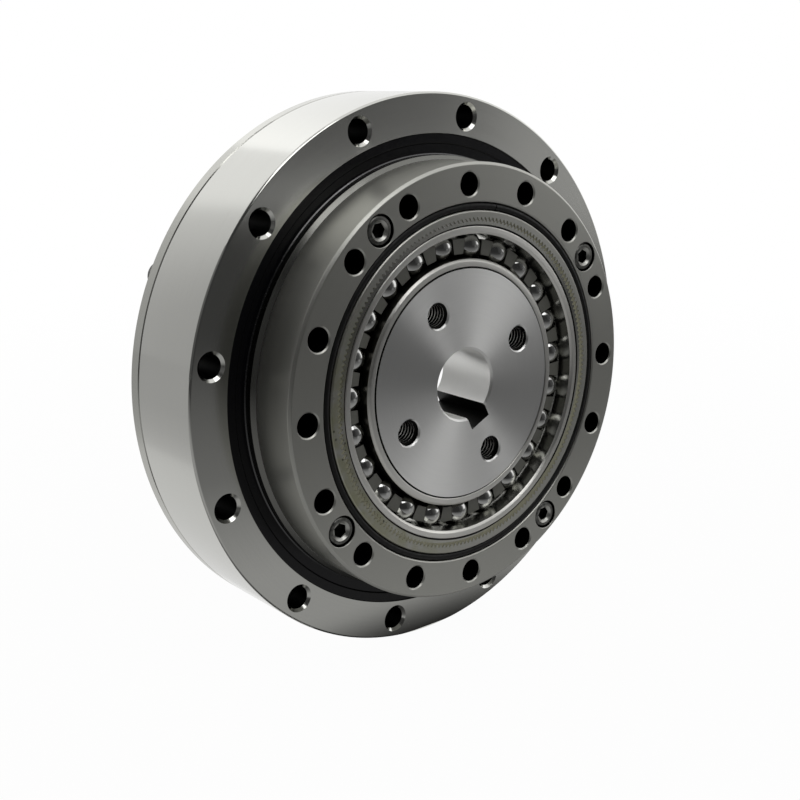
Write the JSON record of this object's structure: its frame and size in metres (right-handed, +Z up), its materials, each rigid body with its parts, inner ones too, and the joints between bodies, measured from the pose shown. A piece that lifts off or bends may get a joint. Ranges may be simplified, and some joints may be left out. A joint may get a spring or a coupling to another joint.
{
  "type": "strain wave gearbox",
  "caption": "Strain wave gearbox with a keyed oval wave generator, a thin hat-shaped flexspline and an internally toothed output ring on a crossed-roller bearing.",
  "frame": {"origin": "on the axis, at the front face of the outer ring, where the housing is bolted on", "axes": "+Y along the axis from the output face to the rear, +Z up, +X to the right as seen from the output side"},
  "size_m": [0.11, 0.036, 0.11],
  "materials": {
    "housing_steel": "fine ground",
    "flexspline_steel": "fine ground, thin film of grease at the teeth",
    "spline_steel": "fine turned",
    "bearing_steel": "ground",
    "roller_steel": "polished",
    "plug_steel": "fine turned",
    "race_steel": "ground and polished",
    "ball_steel": "polished",
    "screw_steel": "dark oxide, worn bright at the rim",
    "spring_steel": "drawn wire",
    "seal_rubber": "smooth, oily",
    "o_ring_rubber": "smooth",
    "cage_plastic": "moulded"
  },
  "bodies": {
    "housing": {"outer_ring": "housing_steel", "flexspline": "flexspline_steel", "seal_case": "seal_rubber", "seal_lip": "seal_rubber", "seal_spring": "spring_steel", "flex_outer_race": "race_steel", "rear_screw_1": "screw_steel", "rear_screw_2": "screw_steel", "rear_screw_3": "screw_steel", "rear_screw_4": "screw_steel"},
    "output": {"circular_spline": "spline_steel", "inner_ring_front": "bearing_steel", "inner_ring_rear": "bearing_steel", "face_o_ring": "o_ring_rubber", "output_screw_1": "screw_steel", "output_screw_2": "screw_steel", "output_screw_3": "screw_steel", "output_screw_4": "screw_steel"},
    "roller_set": {"rollers_forward": "roller_steel", "rollers_backward": "roller_steel"},
    "wave_generator": {"wave_plug": "plug_steel", "flex_inner_race": "race_steel"},
    "ball_set": {"flex_balls": "ball_steel", "flex_cage": "cage_plastic"}
  },
  "joints": [
    {"name": "wave_generator_turn", "type": "hinge", "parent": "housing", "child": "wave_generator", "pos_m": [0, 0, 0], "axis": [0, 1, 0], "continuous": true, "deforming": ["flexspline", "flex_outer_race", "flex_balls"]},
    {"name": "output_turn", "type": "hinge", "parent": "housing", "child": "output", "pos_m": [0, 0, 0], "axis": [0, 1, 0], "continuous": true},
    {"name": "roller_set_turn", "type": "hinge", "parent": "housing", "child": "roller_set", "pos_m": [0, 0, 0], "axis": [0, 1, 0], "continuous": true},
    {"name": "ball_set_turn", "type": "hinge", "parent": "housing", "child": "ball_set", "pos_m": [0, 0, 0], "axis": [0, 1, 0], "continuous": true}
  ],
  "couplings": [
    {"joint": "output_turn", "follows": "wave_generator_turn", "ratio": 0.009901},
    {"joint": "roller_set_turn", "follows": "wave_generator_turn", "ratio": 0.0047949},
    {"joint": "ball_set_turn", "follows": "wave_generator_turn", "ratio": 0.44831}
  ]
}
